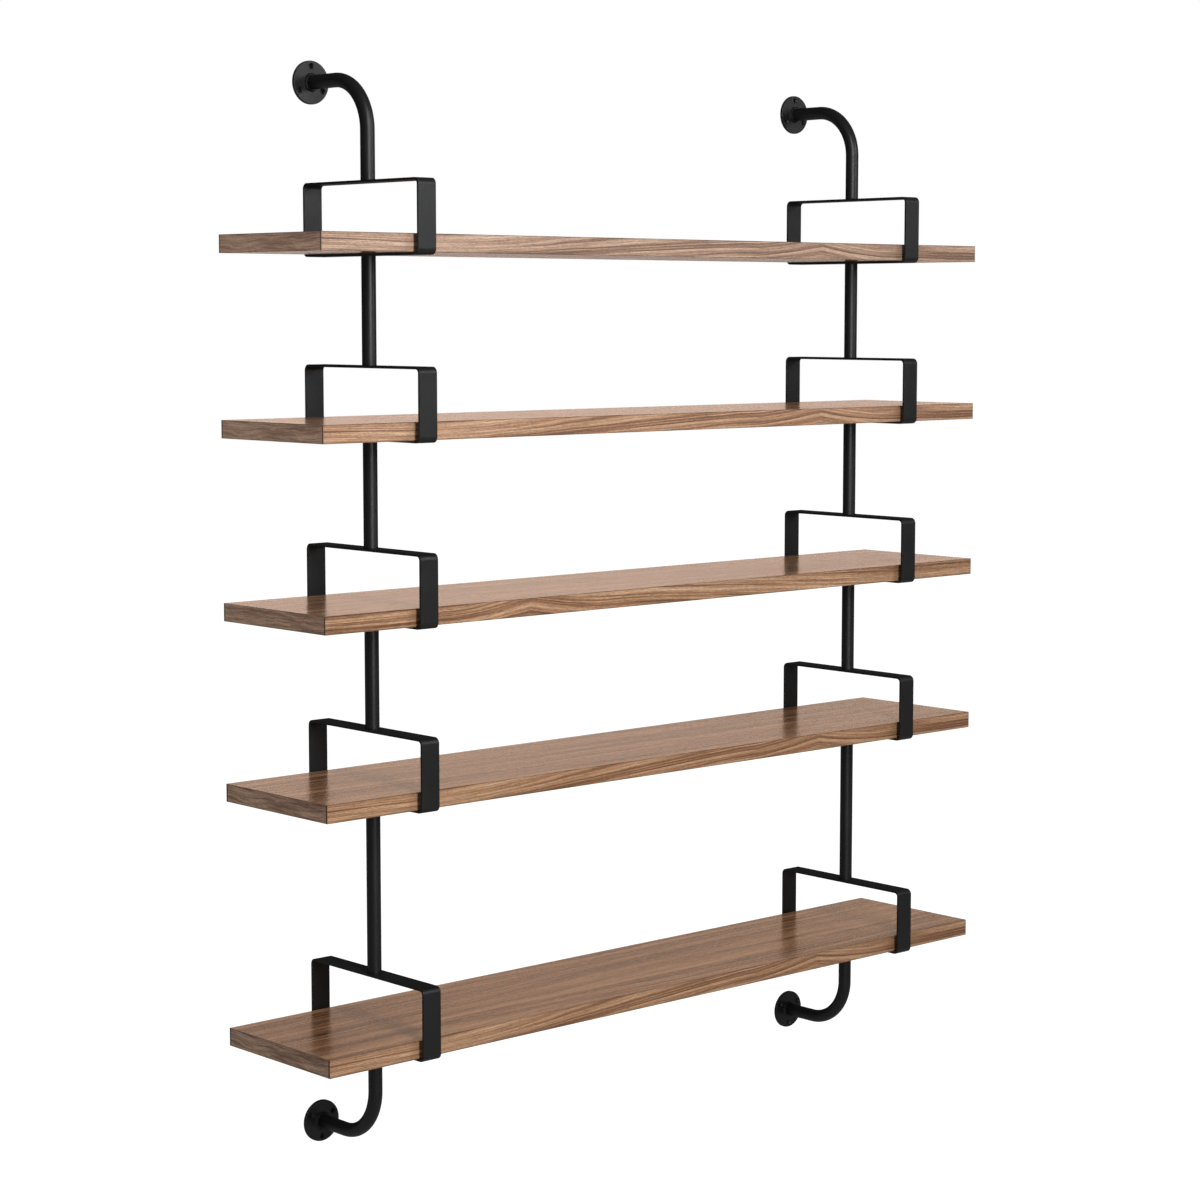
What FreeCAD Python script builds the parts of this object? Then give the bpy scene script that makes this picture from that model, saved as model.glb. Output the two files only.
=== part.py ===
"""Wall shelf: five veneered boards carried by two steel uprights that screw to the wall.

Millimetres. X runs along the boards, +Y points into the wall, +Z is up.
The origin lies on the wall plane, in the middle of the rectangle of wall flanges.
Each upright is a chain: wall flange, bent arm, then flat-bar loops with straight tubes
between them, and a bent arm back to the lower wall flange. Each board lies inside one
loop of each upright. Everything in front of the wall has a negative Y.
"""
import FreeCAD, Part
import math
import os

Vector = FreeCAD.Vector
ALONG_X = Vector(1, 0, 0)
UP = Vector(0, 0, 1)
DOWN = Vector(0, 0, -1)
TO_FRONT = Vector(0, -1, 0)
TO_WALL = Vector(0, 1, 0)

# Boards
board_width = 1550.0
board_depth = 278.0
board_thickness = 30.0
veneer_thickness = 0.6
edge_band_thickness = 1.0

# Heights from each board to the next one down
bay_pitches = [300.0, 300.0, 300.0, 412.0]

# Uprights
upright_spacing = 1155.0
arm_rise = 166.0
arm_bend_radius = 85.0
tube_diameter = 24.0
tube_wall = 2.0

# Flat-bar loops
loop_height = 122.0
bar_width = 36.0
bar_thickness = 4.0
loop_corner_radius = 10.0
board_edge_gap = 11.0
loop_wall_gap = 2.0

# Wall flanges
flange_diameter = 72.0
flange_thickness = 5.0
flange_rim_round = 1.2
socket_depth = 3.0
socket_clearance = 0.1
weld_ring_width = 3.5
weld_ring_height = 4.0
wall_hole_count = 3
wall_hole_margin = 9.0
wall_hole_circle = flange_diameter - 2 * wall_hole_margin
wall_hole_diameter = 5.5
wall_sink_diameter = 10.5

# Threaded plugs in the tube ends, and the machine screws that hold loop and tube together
plug_length = 18.0
plug_clearance = 0.1
thread_radius = 3.0
thread_clearance = 0.1
joint_screw_head_radius = 6.0
joint_screw_reach = 13.0
joint_key_across_flats = 4.0
joint_key_depth = 2.0

# Wood screws that come up through a loop's lower bar into the board
wood_screw_radius = 2.2
wood_screw_head_radius = 4.3
wood_screw_length = 25.0
wood_screw_tip = 4.0
wood_screw_offset = 90.0
wood_screw_slot_width = 1.1
wood_screw_slot_depth = 1.2
screw_hole_clearance = 0.1

# Worked out from the values above
tube_radius = tube_diameter / 2
tube_bore_radius = tube_radius - tube_wall
loop_depth = board_depth + 2 * (board_edge_gap + bar_thickness)
upright_y = -(loop_wall_gap + loop_depth / 2)
tube_gaps = [pitch - loop_height for pitch in bay_pitches]
loop_total = len(bay_pitches) + 1
flange_z = arm_rise + (loop_total * loop_height + sum(tube_gaps)) / 2
first_loop_top = flange_z - arm_rise
loop_tops = [first_loop_top - sum(bay_pitches[:place]) for place in range(loop_total)]
sides = {"left": -upright_spacing / 2, "right": upright_spacing / 2}
socket_floor_y = -(flange_thickness - socket_depth)


def block(low, high):
    """A box between two opposite corners."""
    size = high - low
    return Part.makeBox(size.x, size.y, size.z, low)


def ring(centre, normal, outer_radius, inner_radius):
    """A flat annular face."""
    outer = Part.Face(Part.Wire(Part.makeCircle(outer_radius, centre, normal)))
    inner = Part.Face(Part.Wire(Part.makeCircle(inner_radius, centre, normal)))
    return outer.cut(inner).Faces[0]


def fused(shapes):
    """One solid from touching shapes, without the seams between them."""
    whole = shapes[0].fuse(shapes[1:]).removeSplitter()
    return whole.Solids[0]


def mirrored_below(shape):
    """The same piece for the lower half, reflected through the horizontal mid-plane."""
    return shape.mirror(Vector(0, 0, 0), UP)


def countersunk(point, direction, hole_radius, sink_radius, length):
    """Cutter for a 90 degree countersunk hole that opens at point and runs along direction."""
    hole = Part.makeCylinder(hole_radius, length, point, direction)
    sink = Part.makeCone(sink_radius, hole_radius, sink_radius - hole_radius, point, direction)
    return hole.fuse(sink)


def board_low_z(loop_top):
    """Underside of the board that lies in a loop."""
    return loop_top - loop_height + bar_thickness


def wood_screw_points(loop_top):
    """Where the wood screws enter one board, on the underside of the loops' lower bars."""
    height = loop_top - loop_height
    offsets = (-wood_screw_offset, wood_screw_offset)
    return [Vector(x, upright_y + offset, height) for x in sides.values() for offset in offsets]


# Boards

def pilot_holes(loop_top):
    """Cutters for the wood screws, a little wider and longer than their shanks."""
    radius = wood_screw_radius + screw_hole_clearance
    length = wood_screw_length + screw_hole_clearance
    return [Part.makeCylinder(radius, length, point, UP) for point in wood_screw_points(loop_top)]


def inner_sheet(low_z, high_z):
    """A sheet the size of the board inside its edge bands."""
    half_x = board_width / 2 - edge_band_thickness
    half_y = board_depth / 2 - edge_band_thickness
    return block(Vector(-half_x, upright_y - half_y, low_z), Vector(half_x, upright_y + half_y, high_z))


def board_core(loop_top):
    low = board_low_z(loop_top)
    core = inner_sheet(low + veneer_thickness, low + board_thickness - veneer_thickness)
    return core.cut(pilot_holes(loop_top)).Solids[0]


def board_veneers(loop_top):
    """The upper and the lower face veneer; the lower one is pierced by the wood screws."""
    low = board_low_z(loop_top)
    high = low + board_thickness
    upper = inner_sheet(high - veneer_thickness, high)
    lower = inner_sheet(low, low + veneer_thickness).cut(pilot_holes(loop_top)).Solids[0]
    return Part.makeCompound([upper, lower])


def board_edge_bands(loop_top):
    """Front and back bands along the whole board, and the two end bands between them."""
    low = board_low_z(loop_top)
    high = low + board_thickness
    half_x = board_width / 2
    half_y = board_depth / 2
    inner_x = half_x - edge_band_thickness
    inner_y = half_y - edge_band_thickness
    bands = []
    for near, far in ((-half_y, -inner_y), (inner_y, half_y)):
        bands.append(block(Vector(-half_x, upright_y + near, low), Vector(half_x, upright_y + far, high)))
    for near, far in ((-half_x, -inner_x), (inner_x, half_x)):
        bands.append(block(Vector(near, upright_y - inner_y, low), Vector(far, upright_y + inner_y, high)))
    return Part.makeCompound(bands)


# Uprights

def rounded_block(centre, half_y, half_z, radius):
    """A block as wide as the bar, with its four edges along X rounded."""
    low = centre - Vector(bar_width / 2, half_y, half_z)
    high = centre + Vector(bar_width / 2, half_y, half_z)
    solid = block(low, high)
    edges = [edge for edge in solid.Edges if abs(edge.tangentAt(edge.FirstParameter).x) > 0.5]
    return solid.makeFillet(radius, edges)


def joint_screw_seats(side_x, loop_top):
    """Each loop's two tube joints: a point on the bar's inner face, and the screw's direction."""
    upper = Vector(side_x, upright_y, loop_top - bar_thickness)
    lower = Vector(side_x, upright_y, loop_top - loop_height + bar_thickness)
    return [(upper, UP), (lower, DOWN)]


def loop(side_x, loop_top):
    """Flat bar bent into a rounded rectangle, with countersunk holes for its screws."""
    centre = Vector(side_x, upright_y, loop_top - loop_height / 2)
    half_y = loop_depth / 2
    half_z = loop_height / 2
    outer = rounded_block(centre, half_y, half_z, loop_corner_radius)
    inner_radius = loop_corner_radius - bar_thickness
    inner = rounded_block(centre, half_y - bar_thickness, half_z - bar_thickness, inner_radius)
    cutters = [inner]
    for point, direction in joint_screw_seats(side_x, loop_top):
        radius = thread_radius + screw_hole_clearance
        head = joint_screw_head_radius + screw_hole_clearance
        cutters.append(countersunk(point, direction, radius, head, bar_thickness))
    for point in wood_screw_points(loop_top):
        if abs(point.x - side_x) < bar_width:
            radius = wood_screw_radius + screw_hole_clearance
            head = wood_screw_head_radius + screw_hole_clearance
            cutters.append(countersunk(point, UP, radius, head, bar_thickness))
    return outer.cut(cutters).Solids[0]


def straight_tube(side_x, loop_top, length):
    """Tube that stands between the loop whose top is given and the loop above it."""
    base = Vector(side_x, upright_y, loop_top)
    return ring(base, UP, tube_radius, tube_bore_radius).extrude(UP * length)


def upper_arm(side_x):
    """Tube from its socket in the upper flange, through a right angle, down to the first loop."""
    start = Vector(side_x, socket_floor_y, flange_z)
    bend_start = Vector(side_x, upright_y + arm_bend_radius, flange_z)
    bend_centre = bend_start - UP * arm_bend_radius
    foot = Vector(side_x, upright_y, first_loop_top)
    level = ring(start, TO_FRONT, tube_radius, tube_bore_radius).extrude(bend_start - start)
    section = ring(bend_start, TO_FRONT, tube_radius, tube_bore_radius)
    bend = section.revolve(bend_centre, ALONG_X, 90)
    drop = flange_z - arm_bend_radius - first_loop_top
    upright = ring(foot, UP, tube_radius, tube_bore_radius).extrude(UP * drop)
    return fused([level, bend, upright])


def wall_hole_points():
    """Centres of one upper flange's wall holes about its middle, with one hole at the top."""
    points = []
    for number in range(wall_hole_count):
        angle = math.pi / 2 + 2 * math.pi * number / wall_hole_count
        points.append(Vector(math.cos(angle), 0, math.sin(angle)) * (wall_hole_circle / 2))
    return points


def upper_flange(side_x):
    """Round plate against the wall, with a weld ring round the socket that takes the arm."""
    middle = Vector(side_x, 0, flange_z)
    plate = Part.makeCylinder(flange_diameter / 2, flange_thickness, middle, TO_FRONT)
    rim = [edge for edge in plate.Edges if edge.CenterOfMass.y < -flange_thickness + 0.01]
    plate = plate.makeFillet(flange_rim_round, rim)
    ring_radius = tube_radius + weld_ring_width
    front = middle + TO_FRONT * flange_thickness
    neck_radius = tube_radius + weld_ring_width / 3
    weld = Part.makeCone(ring_radius, neck_radius, weld_ring_height, front, TO_FRONT)
    body = fused([plate, weld])
    socket_floor = Vector(side_x, socket_floor_y, flange_z)
    socket_length = socket_depth + weld_ring_height
    socket = Part.makeCylinder(tube_radius + socket_clearance, socket_length, socket_floor, TO_FRONT)
    cutters = [socket]
    hole_radius = wall_hole_diameter / 2
    sink_radius = wall_sink_diameter / 2
    for offset in wall_hole_points():
        cutters.append(countersunk(front + offset, TO_WALL, hole_radius, sink_radius, flange_thickness))
    return body.cut(cutters).Solids[0]


# Screws and plugs

def plug(end, direction):
    """Threaded plug inside a tube, flush with the tube's end and running along direction."""
    body = Part.makeCylinder(tube_bore_radius - plug_clearance, plug_length, end, direction)
    return body.cut(Part.makeCylinder(thread_radius, plug_length, end, direction)).Solids[0]


def hexagon_prism(point, direction, across_flats, depth):
    """Six-sided cutter for a key recess, standing along Z."""
    radius = across_flats / math.sqrt(3)
    corners = []
    for number in range(7):
        angle = math.pi * number / 3
        corners.append(point + Vector(math.cos(angle), math.sin(angle), 0) * radius)
    return Part.Face(Part.makePolygon(corners)).extrude(direction * depth)


def joint_screw(point, direction):
    """Countersunk machine screw, flush with the bar's inner face, with a hexagonal recess."""
    shank_radius = thread_radius - thread_clearance
    head_height = joint_screw_head_radius - shank_radius
    head = Part.makeCone(joint_screw_head_radius, shank_radius, head_height, point, direction)
    shank = Part.makeCylinder(shank_radius, bar_thickness + joint_screw_reach, point, direction)
    recess = hexagon_prism(point, direction, joint_key_across_flats, joint_key_depth)
    return fused([head, shank]).cut(recess).Solids[0]


def wood_screw(point):
    """Countersunk wood screw, flush under the bar, with a pointed tip and a cross recess."""
    head_height = wood_screw_head_radius - wood_screw_radius
    shank_length = wood_screw_length - wood_screw_tip
    head = Part.makeCone(wood_screw_head_radius, wood_screw_radius, head_height, point, UP)
    shank = Part.makeCylinder(wood_screw_radius, shank_length, point, UP)
    tip_base = point + UP * shank_length
    tip = Part.makeCone(wood_screw_radius, wood_screw_radius / 4, wood_screw_tip, tip_base, UP)
    body = fused([head, shank, tip])
    half_long = wood_screw_head_radius / 2
    half_wide = wood_screw_slot_width / 2
    depth = Vector(0, 0, wood_screw_slot_depth)
    for half_x, half_y in ((half_long, half_wide), (half_wide, half_long)):
        reach = Vector(half_x, half_y, 0)
        body = body.cut(block(point - reach, point + reach + depth))
    return body.Solids[0]


def plugs(side_x):
    """Every plug of one upright: two in each straight tube and one at each arm's foot."""
    made = []
    for loop_top in loop_tops:
        for point, direction in joint_screw_seats(side_x, loop_top):
            made.append(plug(point + direction * bar_thickness, direction))
    return Part.makeCompound(made)


def joint_screws(side_x):
    """Every screw between a loop and a tube of one upright."""
    made = []
    for loop_top in loop_tops:
        for point, direction in joint_screw_seats(side_x, loop_top):
            made.append(joint_screw(point, direction))
    return Part.makeCompound(made)


# The whole shelf

parts = {}
for number, loop_top in enumerate(loop_tops, start=1):
    parts[f"shelf_{number}_core"] = board_core(loop_top)
    parts[f"shelf_{number}_veneers"] = board_veneers(loop_top)
    parts[f"shelf_{number}_edge_bands"] = board_edge_bands(loop_top)
    screws = [wood_screw(point) for point in wood_screw_points(loop_top)]
    parts[f"shelf_{number}_screws"] = Part.makeCompound(screws)

for side, side_x in sides.items():
    for number, loop_top in enumerate(loop_tops, start=1):
        parts[f"{side}_loop_{number}"] = loop(side_x, loop_top)
    for number, length in enumerate(tube_gaps, start=1):
        parts[f"{side}_tube_{number}"] = straight_tube(side_x, loop_tops[number], length)
    arm = upper_arm(side_x)
    flange = upper_flange(side_x)
    parts[f"{side}_upper_arm"] = arm
    parts[f"{side}_upper_flange"] = flange
    parts[f"{side}_lower_arm"] = mirrored_below(arm)
    parts[f"{side}_lower_flange"] = mirrored_below(flange)
    parts[f"{side}_tube_plugs"] = plugs(side_x)
    parts[f"{side}_joint_screws"] = joint_screws(side_x)

os.makedirs("parts", exist_ok=True)
for name, shape in parts.items():
    shape.exportStep(f"parts/{name}.step")
    print(name, len(shape.Solids), "solids, valid:", shape.isValid(), "volume:", round(shape.Volume))
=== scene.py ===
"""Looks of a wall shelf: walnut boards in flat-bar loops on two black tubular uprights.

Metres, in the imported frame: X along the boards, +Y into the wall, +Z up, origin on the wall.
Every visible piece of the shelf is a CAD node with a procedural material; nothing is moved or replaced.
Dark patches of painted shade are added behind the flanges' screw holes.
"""
import math

import bpy
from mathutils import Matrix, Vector


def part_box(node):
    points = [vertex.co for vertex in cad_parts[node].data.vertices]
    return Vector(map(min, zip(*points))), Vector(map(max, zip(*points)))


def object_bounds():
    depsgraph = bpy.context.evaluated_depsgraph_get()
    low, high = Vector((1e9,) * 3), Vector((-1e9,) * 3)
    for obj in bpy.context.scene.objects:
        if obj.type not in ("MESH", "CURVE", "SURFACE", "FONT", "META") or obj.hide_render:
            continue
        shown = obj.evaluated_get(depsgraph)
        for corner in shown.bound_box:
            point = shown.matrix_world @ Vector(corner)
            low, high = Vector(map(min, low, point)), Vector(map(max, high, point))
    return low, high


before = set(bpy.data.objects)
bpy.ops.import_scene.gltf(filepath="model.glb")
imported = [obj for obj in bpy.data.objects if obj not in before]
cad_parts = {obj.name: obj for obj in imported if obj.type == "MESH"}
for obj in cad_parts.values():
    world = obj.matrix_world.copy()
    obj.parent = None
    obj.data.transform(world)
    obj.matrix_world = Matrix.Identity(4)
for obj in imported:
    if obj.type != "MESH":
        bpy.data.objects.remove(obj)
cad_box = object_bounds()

MM = 0.001

# Camera that matches the reference view: where it stands, where it looks and its lens
CAMERA_PLACE = Vector((-3.382, -3.817, 0.506))
CAMERA_YAW = math.radians(42.15)
CAMERA_PITCH = math.radians(-5.9)
CAMERA_LENS = 83.95
SENSOR_WIDTH = 36.0

# Middle of the boards' depth
BOARD_MIDDLE_Y = sum(corner[1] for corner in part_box("shelf_1_edge_bands")) / 2

# Walnut from dark to light, on the wide faces and on the edge bands
FACE_COLOURS = [(0.085, 0.032, 0.012), (0.27, 0.12, 0.052), (0.45, 0.235, 0.12)]
BAND_COLOURS = [(0.135, 0.058, 0.027), (0.32, 0.165, 0.085), (0.53, 0.325, 0.195)]
GLUE_COLOUR = (0.022, 0.012, 0.007)

# Saturation and brightness of each board's edge bands, set against the reference view
# Painted light: the bands are brighter on the upper boards, and greyer on the top board as painted
# reflected haze
BAND_PAINTED_LIGHT = {1: (0.76, 1.06), 2: (0.92, 1.08), 3: (0.97, 0.99), 4: (1.0, 0.95), 5: (1.0, 0.97)}
# End faces: paler and greyer, as painted fill light and painted reflected haze
END_PAINTED_LIGHT = (0.86, 1.22)

# The board that is turned end for end
TURNED_BOARD = 3

# Where the figure is taken from the noise: each wide face has its own, four boards share the bands'
FACE_SEED_STEP = 3.7
FACE_SIDE_STEP = 0.9
BAND_SEED = 2.1
TURNED_BAND_SEED = 15.4

# Cells of noise to a metre along the grain and across it
BEND_CELLS = (1.4, 7.0, 1.0)
RIPPLE_CELLS = (9.0, 45.0, 1.0)
FLECK_CELLS = (150.0, 850.0, 1.0)
FIBRE_CELLS = (14.0, 620.0, 1.0)
PORE_CELLS = (60.0, 1500.0, 1.0)
BAND_CELLS_ALONG = 1.1
LINE_CELLS_ALONG = 3.0

# Colour bands to a metre across the grain, finer lines to each band, and how far they wander
FACE_STRIPES = 46.0
BAND_STRIPES = 105.0
LINES_PER_STRIPE = 4.2
FACE_BENDING = 0.05
BAND_BENDING = 0.016
RIPPLE_SHARE = 0.16

# Range of the fibre noise that shows
FIBRE_LOW, FIBRE_HIGH = 0.36, 0.64

# Lacquer's roughness and how strongly the pores darken, on the faces and on the edge bands
FACE_FINISH = (0.22, 0.75)
BAND_FINISH = (0.34, 0.5)

# Climb of the figure on each edge band: where it starts and ends along the board, and its height
CLIMB_START = -0.62
CLIMB_END = 0.22
CLIMB_HEIGHT = 0.034

# Arch in the figure of each edge band: its place along the board, its reach and its height
ARCH_PLACE = 0.35
ARCH_REACH = 0.17
ARCH_HEIGHT = 0.018
ARCH_SHARPNESS = 1.5

# Glue lines: at the end faces' upright edges, and where the bands meet the wide faces
CORNER_LINE = 3.8 * MM
FACE_LINE = 1.1 * MM
CORNER_LINE_STRENGTH = 0.93
FACE_LINE_STRENGTH = 0.5
END_FACE_STRETCH = 6.0

# Powder coat, screws, plugs and the boards' cores
COAT_COLOUR = (0.0042, 0.0043, 0.0046)
COAT_ROUGHNESS = 0.43
COAT_GRAIN_CELLS = 1600.0
COAT_CLOUD_CELLS = 14.0
EDGE_RADIUS = 0.9 * MM
# Gain of the coat's colour along its edges: a painted highlight
EDGE_HIGHLIGHT_GAIN = 2.6
CLOUD_GAIN = 1.5
POLISH_CELLS = 300.0
POLISH_DARKENING = 0.75
HARDWARE_ROUGHNESS = 0.4
ZINC_COLOUR = (0.5, 0.5, 0.48)
SCREW_COLOUR = (0.03, 0.03, 0.032)
SPECKLE_CELLS = 900.0
CORE_COLOURS = [(0.46, 0.33, 0.2), (0.3, 0.2, 0.12)]

# World: its grey as a light, and the room that reflections see, with its wall side
WORLD_GREY = 0.34
ROOM_COLOUR = (0.16, 0.16, 0.165)
ROOM_WALL_COLOUR = (0.05, 0.05, 0.05)
ROOM_WALL_START, ROOM_WALL_END = 0.1, 0.6

# Floor, and how much of its white reaches the camera and reflections
FLOOR_DROP = 0.25
FLOOR_SIZE = 30.0
FLOOR_GREY = 0.34
FLOOR_GLOW = 0.95
FLOOR_MIRRORED = 0.08

# Dark wall patches of painted shade behind the flanges, for the shaded wall in the screw holes: their
# size against the flange's, their gap and their corners
PATCH_SHADE_GREY = 0.03
PATCH_SHARE = 0.95
PATCH_GAP = 1.0 * MM
PATCH_CORNERS = 48

# Soft boxes: name, place, target, width, height and power
SOFT_BOXES = [
    ("key", Vector((-1.0, -3.0, 1.15)), Vector((0.0, -0.15, 0.2)), 0.6, 2.8, 90.0),
    ("side", Vector((2.0, -3.0, 1.45)), Vector((0.0, -0.15, 0.6)), 1.2, 1.2, 30.0),
]

# How far towards its target the lamp for a soft box's shine stands in front of it
SHINE_STEP = 0.02

# Far wall that the boards mirror: its distance and width, and each strip's bottom, top and glow
WALL_GLOW_DISTANCE = 60.0
WALL_GLOW_WIDTH = 240.0
WALL_STRIPS = [
    ("wall_low", -9.0, 11.0, (1.53, 1.13, 0.93)),
    ("wall_high", 11.0, 71.0, (0.44, 0.3, 0.21)),
]


# Small helpers for node trees

def put(tree, kind, settings=None, **inputs):
    """Adds a node. Settings are its properties; inputs are numbers, colours or sockets by name."""
    node = tree.nodes.new(kind)
    for name, value in (settings or {}).items():
        setattr(node, name, value)
    for name, value in inputs.items():
        socket = node.inputs[name.replace("_", " ")]
        if isinstance(value, bpy.types.NodeSocket):
            tree.links.new(value, socket)
        else:
            socket.default_value = value
    return node


def calc(tree, operation, *values, clamp=False):
    """A Math node on one to three numbers or sockets."""
    node = tree.nodes.new("ShaderNodeMath")
    node.operation = operation
    node.use_clamp = clamp
    for socket, value in zip(node.inputs, values):
        if isinstance(value, bpy.types.NodeSocket):
            tree.links.new(value, socket)
        else:
            socket.default_value = value
    return node.outputs[0]


def weighted(tree, first, first_share, second, second_share):
    """The sum of two values, each multiplied by its share."""
    return calc(tree, "ADD", calc(tree, "MULTIPLY", first, first_share),
                calc(tree, "MULTIPLY", second, second_share))


def remap(tree, value, low, high, new_low=0.0, new_high=1.0):
    """Smoothly maps low..high to new_low..new_high, clamped."""
    node = put(tree, "ShaderNodeMapRange", {"interpolation_type": "SMOOTHSTEP"},
               Value=value, From_Min=low, From_Max=high, To_Min=new_low, To_Max=new_high)
    return node.outputs["Result"]


def blend_colours(tree, amount, first, second):
    """Mix node for colours: first where amount is 0, second where it is 1."""
    node = tree.nodes.new("ShaderNodeMix")
    node.data_type = "RGBA"
    node.clamp_factor = True
    factor, colour_a, colour_b = node.inputs[0], node.inputs[6], node.inputs[7]
    for socket, value in ((factor, amount), (colour_a, first), (colour_b, second)):
        if isinstance(value, bpy.types.NodeSocket):
            tree.links.new(value, socket)
        else:
            socket.default_value = value
    return node.outputs[2]


def rgb(red, green, blue):
    """An opaque colour."""
    return (red, green, blue, 1.0)


def grey(level):
    return rgb(level, level, level)


def scaled(colour, factor):
    """A colour with its three channels multiplied by a factor."""
    return rgb(*(channel * factor for channel in colour[:3]))


def stretched(tree, vector, scale):
    """The vector with each axis multiplied by its own scale."""
    node = put(tree, "ShaderNodeVectorMath", {"operation": "MULTIPLY"})
    tree.links.new(vector, node.inputs[0])
    node.inputs[1].default_value = scale
    return node.outputs[0]


def noise(tree, vector, scale, detail=2.0, roughness=0.5):
    """Noise between about 0.2 and 0.8 over a stretched space; scale is cells to a metre."""
    node = put(tree, "ShaderNodeTexNoise", Vector=stretched(tree, vector, scale), Scale=1.0,
               Detail=detail, Roughness=roughness)
    return node.outputs[0]


def even_noise(tree, vector, cells, detail=2.0, roughness=0.5):
    """Noise with as many cells to a metre each way."""
    return noise(tree, vector, (cells, cells, cells), detail, roughness)


def object_place(tree):
    """Where the shaded point is, in its piece's own frame."""
    return put(tree, "ShaderNodeTexCoord").outputs["Object"]


def face_direction(tree):
    """The face's own direction, without bumps."""
    return put(tree, "ShaderNodeNewGeometry").outputs["Normal"]


def mirrored_ray(tree, path):
    """1 for a ray that comes from a reflection or through glass, else 0."""
    return calc(tree, "MAXIMUM", path.outputs["Is Glossy Ray"], path.outputs["Is Transmission Ray"])


def new_material(name):
    """A material with a Principled shader, which it returns with its tree."""
    material = bpy.data.materials.new(name)
    material.use_nodes = True
    tree = material.node_tree
    shader = tree.nodes["Principled BSDF"]
    return material, tree, shader


# Walnut

def walnut_tree(name, middle, turned):
    """A satin-lacquered material, its tree and shader, and the place on the board.

    Place is along X, across Y, and up from the middle of the board's thickness. A turned board
    has its ends swapped.
    """
    material, tree, shader = new_material(name)
    place = put(tree, "ShaderNodeSeparateXYZ", Vector=object_place(tree))
    along = calc(tree, "MULTIPLY", place.outputs["X"], -1.0 if turned else 1.0)
    up = calc(tree, "SUBTRACT", place.outputs["Z"], middle)
    return material, tree, shader, along, place.outputs["Y"], up


def grain(tree, along, across, seed, stripes, bending):
    """Figure of sliced veneer over a face: its colour, fibres and pores.

    Stripes is how many colour bands there are to a metre across the grain. Bending, in metres,
    is how far the bands wander sideways.
    """
    def at(across_socket):
        return put(tree, "ShaderNodeCombineXYZ", X=along, Y=across_socket, Z=seed).outputs[0]

    bend = calc(tree, "SUBTRACT", noise(tree, at(across), BEND_CELLS), 0.5)
    ripple = calc(tree, "SUBTRACT", noise(tree, at(across), RIPPLE_CELLS), 0.5)
    across = calc(tree, "ADD", across, calc(tree, "MULTIPLY", bend, bending))
    across = calc(tree, "ADD", across, calc(tree, "MULTIPLY", ripple, bending * RIPPLE_SHARE))
    flow = at(across)

    band = noise(tree, flow, (BAND_CELLS_ALONG, stripes, 1.0), 3.0, 0.62)
    line = noise(tree, flow, (LINE_CELLS_ALONG, stripes * LINES_PER_STRIPE, 1.0), 2.0, 0.6)
    fleck = noise(tree, flow, FLECK_CELLS, 2.0, 0.6)
    fibre = noise(tree, flow, FIBRE_CELLS, 3.0, 0.65)
    fibre = weighted(tree, fibre, 0.55, fleck, 0.45)
    pore = remap(tree, noise(tree, flow, PORE_CELLS, 2.0, 0.6), 0.57, 0.66)

    tone = remap(tree, weighted(tree, band, 0.56, line, 0.44), 0.34, 0.66)
    ramp = put(tree, "ShaderNodeValToRGB", Fac=tone)
    return ramp, fibre, pore


def finish_walnut(tree, shader, ramp, colours, fibre, pore, finish):
    """Sets the ramp's colours from dark to light, then adds fibres, pores, lacquer and relief."""
    roughness, pore_depth = finish
    stops = ramp.color_ramp.elements
    while len(stops) < len(colours):
        stops.new(0.5)
    for number, colour in enumerate(colours):
        stops[number].position = number / (len(colours) - 1)
        stops[number].color = rgb(*colour)
    tint = remap(tree, fibre, FIBRE_LOW, FIBRE_HIGH, 0.66, 1.28)
    colour = put(tree, "ShaderNodeHueSaturation", Color=ramp.outputs[0], Value=tint).outputs[0]
    pore_colour = scaled(colours[0], 0.45)
    colour = blend_colours(tree, calc(tree, "MULTIPLY", pore, pore_depth), colour, pore_colour)
    rough = calc(tree, "ADD", calc(tree, "MULTIPLY", pore, 0.12),
                 remap(tree, fibre, FIBRE_LOW, FIBRE_HIGH, roughness - 0.03, roughness + 0.05))
    tree.links.new(rough, shader.inputs["Roughness"])
    height = calc(tree, "SUBTRACT", calc(tree, "MULTIPLY", fibre, 0.3), pore)
    bump = put(tree, "ShaderNodeBump", Strength=0.3, Distance=0.1 * MM, Height=height)
    tree.links.new(bump.outputs[0], shader.inputs["Normal"])
    return colour


def walnut_face(name, middle, turned, seed):
    """Upper and lower faces: fine, nearly straight figure."""
    material, tree, shader, along, across, up = walnut_tree(name, middle, turned)
    side = calc(tree, "MULTIPLY", calc(tree, "SIGN", up), FACE_SIDE_STEP)
    seed = calc(tree, "ADD", side, seed)
    ramp, fibre, pore = grain(tree, along, across, seed, FACE_STRIPES, FACE_BENDING)
    colour = finish_walnut(tree, shader, ramp, FACE_COLOURS, fibre, pore, FACE_FINISH)
    tree.links.new(colour, shader.inputs["Base Color"])
    return material


def band_lift(tree, along):
    """How far the figure of an edge band is raised at a place along the board."""
    climb = remap(tree, along, CLIMB_START, CLIMB_END, 0.0, CLIMB_HEIGHT)
    from_arch = calc(tree, "ABSOLUTE", calc(tree, "SUBTRACT", along, ARCH_PLACE))
    arch = calc(tree, "SUBTRACT", 1.0, calc(tree, "DIVIDE", from_arch, ARCH_REACH), clamp=True)
    arch = calc(tree, "POWER", arch, ARCH_SHARPNESS)
    return calc(tree, "ADD", climb, calc(tree, "MULTIPLY", arch, ARCH_HEIGHT))


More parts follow.
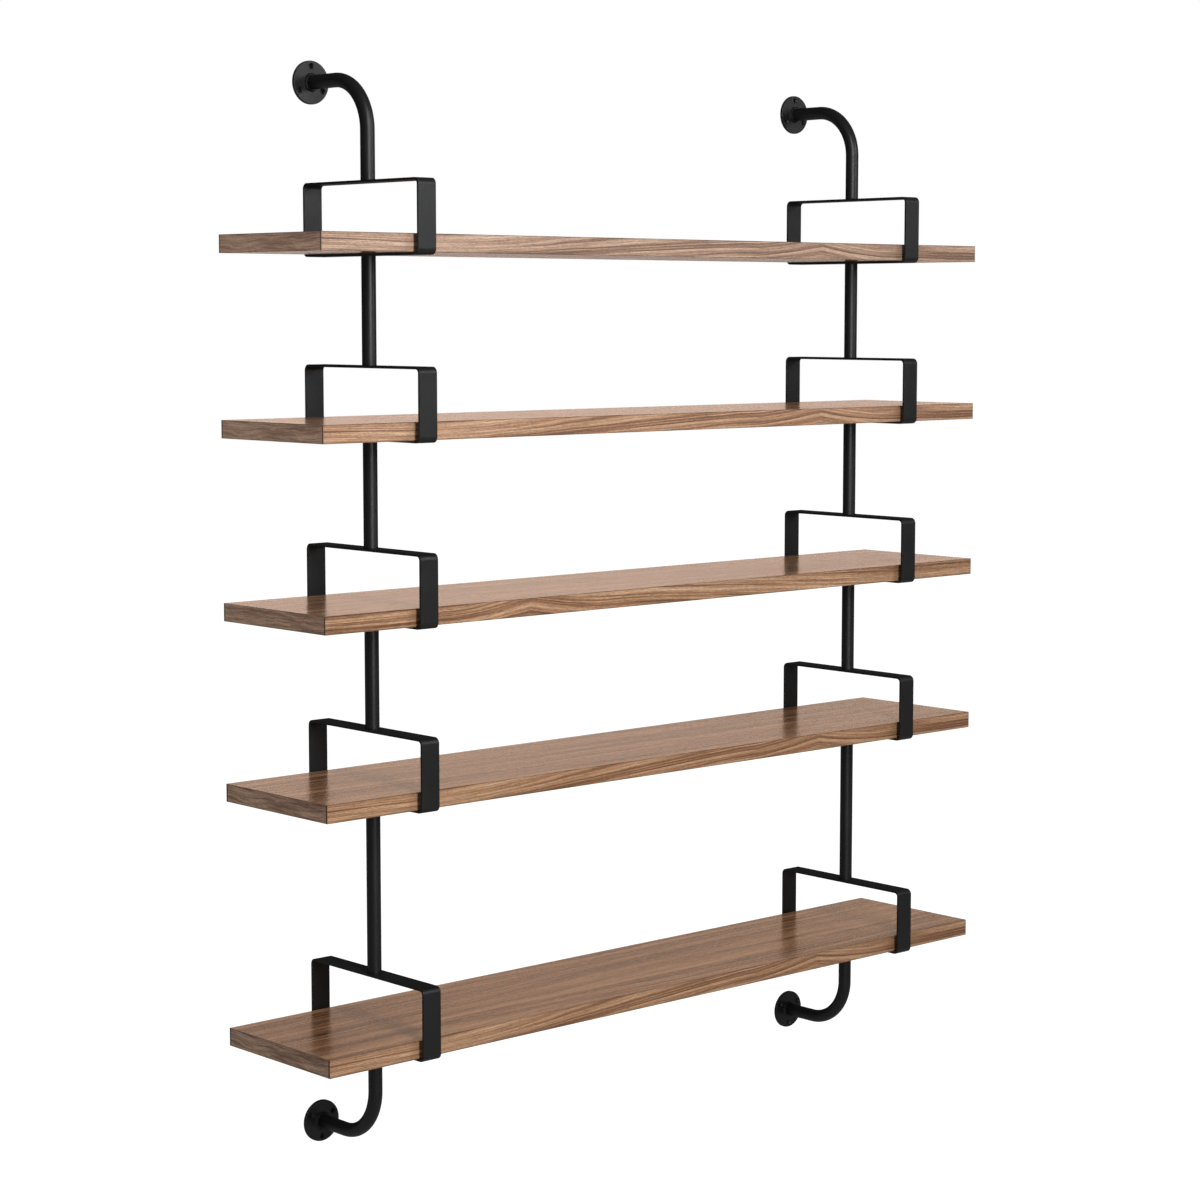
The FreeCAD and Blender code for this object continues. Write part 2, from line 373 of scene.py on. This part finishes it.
def glue_lines(tree, across, up, end_face, half_depth, half_thickness):
    """How much of a glue line there is at a place on the edge bands."""
    from_middle = calc(tree, "ABSOLUTE", calc(tree, "SUBTRACT", across, BOARD_MIDDLE_Y))
    corner = calc(tree, "GREATER_THAN", from_middle, half_depth - CORNER_LINE)
    corner = calc(tree, "MULTIPLY", calc(tree, "MULTIPLY", corner, end_face), CORNER_LINE_STRENGTH)
    face = calc(tree, "GREATER_THAN", calc(tree, "ABSOLUTE", up), half_thickness - FACE_LINE)
    return calc(tree, "MAXIMUM", corner, calc(tree, "MULTIPLY", face, FACE_LINE_STRENGTH))


def tinted(tree, colour, tint):
    """A colour with another saturation and brightness."""
    saturation, brightness = tint
    node = put(tree, "ShaderNodeHueSaturation", Color=colour, Saturation=saturation, Value=brightness)
    return node.outputs[0]


def walnut_bands(name, middle, turned, seed, half_depth, half_thickness, tint):
    """Edge bands: bolder figure that climbs along the board and arches near one end.

    The end faces have their grain along them and are painted paler and greyer, standing in for fill light
    and reflected haze, with dark glue lines at their edges.
    """
    material, tree, shader, along, across, up = walnut_tree(name, middle, turned)
    facing = put(tree, "ShaderNodeSeparateXYZ", Vector=face_direction(tree)).outputs["X"]
    end_face = calc(tree, "GREATER_THAN", calc(tree, "ABSOLUTE", facing), 0.7)

    long_face = calc(tree, "SUBTRACT", 1.0, end_face)
    lifted = calc(tree, "SUBTRACT", up, calc(tree, "MULTIPLY", band_lift(tree, along), long_face))
    run = put(tree, "ShaderNodeMix", {"data_type": "FLOAT"})
    tree.links.new(end_face, run.inputs[0])
    tree.links.new(along, run.inputs[2])
    tree.links.new(calc(tree, "MULTIPLY", across, END_FACE_STRETCH), run.inputs[3])
    ramp, fibre, pore = grain(tree, run.outputs[0], lifted, seed, BAND_STRIPES, BAND_BENDING)
    colour = finish_walnut(tree, shader, ramp, BAND_COLOURS, fibre, pore, BAND_FINISH)
    # Painted light: end faces take the painted fill and haze, long faces take each board's painted light
    colour = blend_colours(tree, end_face, tinted(tree, colour, tint), tinted(tree, colour, END_PAINTED_LIGHT))
    lines = glue_lines(tree, across, up, end_face, half_depth, half_thickness)
    colour = blend_colours(tree, lines, colour, rgb(*GLUE_COLOUR))
    tree.links.new(colour, shader.inputs["Base Color"])
    return material


# Coated steel, small hardware and the boards' cores

def powder_coat(name):
    """Fine-textured semi-matt powder coat, painted lighter along its edges as a highlight."""
    material, tree, shader = new_material(name)
    base = rgb(*COAT_COLOUR)
    place = object_place(tree)
    texture = even_noise(tree, place, COAT_GRAIN_CELLS, 2.0, 0.6)
    cloud = even_noise(tree, place, COAT_CLOUD_CELLS, 3.0)
    edge = put(tree, "ShaderNodeBevel", {"samples": 4}, Radius=EDGE_RADIUS).outputs[0]
    match = put(tree, "ShaderNodeVectorMath", {"operation": "DOT_PRODUCT"})
    tree.links.new(edge, match.inputs[0])
    tree.links.new(face_direction(tree), match.inputs[1])
    # Painted highlight: lighter colour where the bevel turns the normal, along the edges
    painted_edge_highlight = remap(tree, match.outputs["Value"], 0.995, 0.9)
    tint = remap(tree, cloud, 0.3, 0.7, 0.0, 0.35)
    colour = blend_colours(tree, tint, base, scaled(base, CLOUD_GAIN))
    colour = blend_colours(tree, calc(tree, "MULTIPLY", painted_edge_highlight, 0.6), colour, scaled(base, EDGE_HIGHLIGHT_GAIN))
    tree.links.new(colour, shader.inputs["Base Color"])
    rough = remap(tree, cloud, 0.3, 0.7, COAT_ROUGHNESS - 0.03, COAT_ROUGHNESS + 0.05)
    tree.links.new(rough, shader.inputs["Roughness"])
    shader.inputs["Specular IOR Level"].default_value = 0.4
    bump = put(tree, "ShaderNodeBump", Strength=0.25, Distance=0.05 * MM, Height=texture, Normal=edge)
    tree.links.new(bump.outputs[0], shader.inputs["Normal"])
    return material


def plain_metal(name, base, metallic=1.0):
    """Turned or pressed small hardware, with faint uneven polish."""
    material, tree, shader = new_material(name)
    polish = even_noise(tree, object_place(tree), POLISH_CELLS, 3.0)
    uneven = remap(tree, polish, 0.3, 0.7)
    colour = blend_colours(tree, uneven, rgb(*base), scaled(base, POLISH_DARKENING))
    tree.links.new(colour, shader.inputs["Base Color"])
    rough = remap(tree, polish, 0.3, 0.7, HARDWARE_ROUGHNESS - 0.06, HARDWARE_ROUGHNESS + 0.06)
    tree.links.new(rough, shader.inputs["Roughness"])
    shader.inputs["Metallic"].default_value = metallic
    return material


def core_board(name):
    """Fibreboard core: pale brown with a fine felted speckle."""
    material, tree, shader = new_material(name)
    speckle = even_noise(tree, object_place(tree), SPECKLE_CELLS, 3.0, 0.7)
    pale, dark = CORE_COLOURS
    colour = blend_colours(tree, remap(tree, speckle, 0.3, 0.7), rgb(*pale), rgb(*dark))
    tree.links.new(colour, shader.inputs["Base Color"])
    shader.inputs["Roughness"].default_value = 0.85
    return material


# Dressing the CAD nodes

def dress(node, material):
    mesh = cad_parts[node].data
    mesh.materials.clear()
    mesh.materials.append(material)


def dress_board(number, core):
    """Core, face veneers and edge bands of one board."""
    low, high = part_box(f"shelf_{number}_edge_bands")
    middle = (low[2] + high[2]) / 2
    half_depth = (high[1] - low[1]) / 2
    half_thickness = (high[2] - low[2]) / 2
    turned = number == TURNED_BOARD
    band_seed = TURNED_BAND_SEED if turned else BAND_SEED
    face = walnut_face(f"walnut_face_{number}", middle, turned, number * FACE_SEED_STEP)
    bands = walnut_bands(f"walnut_bands_{number}", middle, turned, band_seed, half_depth,
                         half_thickness, BAND_PAINTED_LIGHT[number])
    dress(f"shelf_{number}_core", core)
    dress(f"shelf_{number}_veneers", face)
    dress(f"shelf_{number}_edge_bands", bands)


def dress_all():
    coat = powder_coat("black_powder_coat")
    core = core_board("fibreboard")
    zinc = plain_metal("zinc", ZINC_COLOUR)
    screw = plain_metal("black_screw", SCREW_COLOUR, metallic=0.6)
    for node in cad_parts:
        if node.endswith("_plugs"):
            dress(node, zinc)
        elif node.endswith("_screws"):
            dress(node, screw)
        elif not node.startswith("shelf"):
            dress(node, coat)
    for number in BAND_PAINTED_LIGHT:
        dress_board(number, core)


# Room, light and camera

def add_area(name, place, target, width, height, power, colour=(1.0, 1.0, 1.0)):
    """A soft box at place that faces target, which it returns."""
    light = bpy.data.lights.new(name, "AREA")
    light.shape = "RECTANGLE"
    light.size = width
    light.size_y = height
    light.energy = power
    light.color = colour
    lamp = bpy.data.objects.new(name, light)
    lamp.location = place
    lamp.rotation_euler = (target - place).to_track_quat("-Z", "Y").to_euler()
    lamp.visible_camera = False
    bpy.context.scene.collection.objects.link(lamp)
    return lamp


def shine_on(lamp, pieces):
    """Leaves a lamp only its reflection, and only in these pieces."""
    lamp.visible_diffuse = False
    receivers = bpy.data.collections.new(lamp.name + "_receivers")
    for piece in pieces:
        receivers.objects.link(piece)
    lamp.light_linking.receiver_collection = receivers


def make_world():
    """White to the camera, grey as a light, and to reflections a dim room with a darker wall side."""
    world = bpy.data.worlds.new("studio")
    bpy.context.scene.world = world
    world.use_nodes = True
    tree = world.node_tree
    background = tree.nodes["Background"]
    path = put(tree, "ShaderNodeLightPath")
    direction = put(tree, "ShaderNodeTexCoord").outputs["Generated"]
    parts = put(tree, "ShaderNodeSeparateXYZ", Vector=direction)
    wall_side = remap(tree, parts.outputs["Y"], ROOM_WALL_START, ROOM_WALL_END)
    room = blend_colours(tree, wall_side, rgb(*ROOM_COLOUR), rgb(*ROOM_WALL_COLOUR))
    colour = blend_colours(tree, mirrored_ray(tree, path), grey(WORLD_GREY), room)
    colour = blend_colours(tree, path.outputs["Is Camera Ray"], colour, grey(1.0))
    tree.links.new(colour, background.inputs["Color"])
    background.inputs["Strength"].default_value = 1.0


def add_flat_face(name, corners, material):
    """One flat face with these corners, which it returns as an object."""
    mesh = bpy.data.meshes.new(name)
    mesh.from_pydata(corners, [], [range(len(corners))])
    mesh.materials.append(material)
    face = bpy.data.objects.new(name, mesh)
    bpy.context.scene.collection.objects.link(face)
    return face


def make_floor():
    """A plain pale floor below the lower flanges, white to the camera apart from faint shadows."""
    material, tree, shader = new_material("pale_floor")
    shader.inputs["Base Color"].default_value = grey(FLOOR_GREY)
    shader.inputs["Roughness"].default_value = 0.9
    shader.inputs["Specular IOR Level"].default_value = 0.0
    path = put(tree, "ShaderNodeLightPath")
    dimmed = calc(tree, "MULTIPLY", mirrored_ray(tree, path), FLOOR_MIRRORED)
    seen = calc(tree, "MAXIMUM", path.outputs["Is Camera Ray"], dimmed)
    glow = put(tree, "ShaderNodeEmission", Color=grey(1.0), Strength=FLOOR_GLOW)
    both = put(tree, "ShaderNodeAddShader")
    tree.links.new(shader.outputs[0], both.inputs[0])
    tree.links.new(glow.outputs[0], both.inputs[1])
    choice = put(tree, "ShaderNodeMixShader", Fac=seen)
    tree.links.new(shader.outputs[0], choice.inputs[1])
    tree.links.new(both.outputs[0], choice.inputs[2])
    tree.links.new(choice.outputs[0], tree.nodes["Material Output"].inputs["Surface"])

    half = FLOOR_SIZE / 2
    height = cad_box[0][2] - FLOOR_DROP
    corners = [(-half, -half, height), (half, -half, height), (half, half, height), (-half, half, height)]
    floor = add_flat_face("floor", corners, material)


def make_painted_shade_patches():
    """Dark patches of painted shade where the shaded wall would close the flanges' screw holes;
    see-through from behind.
    """
    material, tree, shader = new_material("shaded_wall")
    shader.inputs["Base Color"].default_value = grey(PATCH_SHADE_GREY)
    shader.inputs["Roughness"].default_value = 0.9
    behind = put(tree, "ShaderNodeNewGeometry").outputs["Backfacing"]
    choice = put(tree, "ShaderNodeMixShader", Fac=behind)
    tree.links.new(shader.outputs[0], choice.inputs[1])
    tree.links.new(put(tree, "ShaderNodeBsdfTransparent").outputs[0], choice.inputs[2])
    tree.links.new(choice.outputs[0], tree.nodes["Material Output"].inputs["Surface"])
    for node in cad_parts:
        if not node.endswith("_flange"):
            continue
        low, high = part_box(node)
        centre_x, centre_z = (low[0] + high[0]) / 2, (low[2] + high[2]) / 2
        radius = (high[0] - low[0]) / 2 * PATCH_SHARE
        back = high[1] + PATCH_GAP
        rim = []
        for corner in range(PATCH_CORNERS):
            turn = 2 * math.pi * corner / PATCH_CORNERS
            rim.append((centre_x + radius * math.cos(turn), back, centre_z + radius * math.sin(turn)))
        patch = add_flat_face(node + "_painted_shade_patch", rim, material)


def make_lights():
    """Two soft boxes, whose shine only the steel shows, and a far wall that only the boards mirror."""
    boards = [piece for node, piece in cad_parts.items() if node.startswith("shelf")]
    steel = [piece for node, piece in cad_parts.items() if not node.startswith("shelf")]
    for name, place, target, *setting in SOFT_BOXES:
        light = add_area(name, place, target, *setting)
        light.visible_glossy = False
        shine_place = place.lerp(target, SHINE_STEP)
        shine_on(add_area(name + "_shine", shine_place, target, *setting), steel)

    for name, low, high, glow in WALL_STRIPS:
        height = high - low
        place = Vector((0.0, WALL_GLOW_DISTANCE, (low + high) / 2))
        target = place - Vector((0.0, 1.0, 0.0))
        power = math.pi * WALL_GLOW_WIDTH * height
        shine_on(add_area(name, place, target, WALL_GLOW_WIDTH, height, power, glow), boards)


def make_camera():
    data = bpy.data.cameras.new("camera")
    data.lens = CAMERA_LENS
    data.sensor_width = SENSOR_WIDTH
    camera = bpy.data.objects.new("camera", data)
    camera.location = CAMERA_PLACE
    camera.rotation_euler = (math.pi / 2 + CAMERA_PITCH, 0.0, -CAMERA_YAW)
    bpy.context.scene.collection.objects.link(camera)
    bpy.context.scene.camera = camera
    bpy.context.scene.view_settings.view_transform = "Standard"


make_camera()
make_world()
make_floor()
make_painted_shade_patches()
make_lights()
dress_all()
